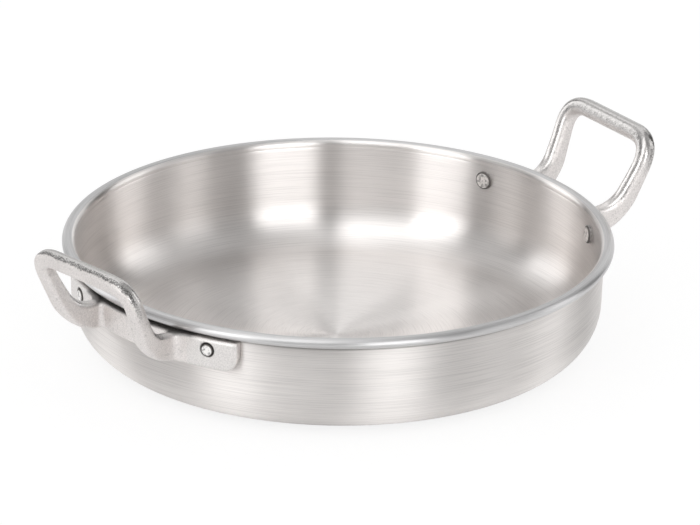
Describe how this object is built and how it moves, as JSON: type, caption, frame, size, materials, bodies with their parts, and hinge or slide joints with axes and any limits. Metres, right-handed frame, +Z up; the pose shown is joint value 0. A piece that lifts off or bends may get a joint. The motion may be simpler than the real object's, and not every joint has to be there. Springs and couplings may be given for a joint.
{
  "type": "two-handled frying pan",
  "caption": "Shallow round spun aluminium pan with a rolled rim and riveted cast loop handles on opposite sides, for frying, baking and serving.",
  "frame": {"origin": "centre of the flat base, on the plane the pan stands on", "axes": "+Z up along the pan's own axis; X runs across the handles, and -Y is the side towards which both handles sit a little off the true diameter"},
  "size_m": [0.4054, 0.32, 0.0992],
  "materials": {
    "spun_aluminium": "spun and brushed in fine rings, with a burnished rim",
    "cast_aluminium": "matt sand-cast grain, with tumbled bright edges and linished pads",
    "rivet_aluminium": "hammered, satin"
  },
  "bodies": {
    "root": {"pan_body": "spun_aluminium", "handle_left": "cast_aluminium", "handle_right": "cast_aluminium", "rivet_left_front": "rivet_aluminium", "rivet_left_rear": "rivet_aluminium", "rivet_right_front": "rivet_aluminium", "rivet_right_rear": "rivet_aluminium"}
  },
  "joints": []
}
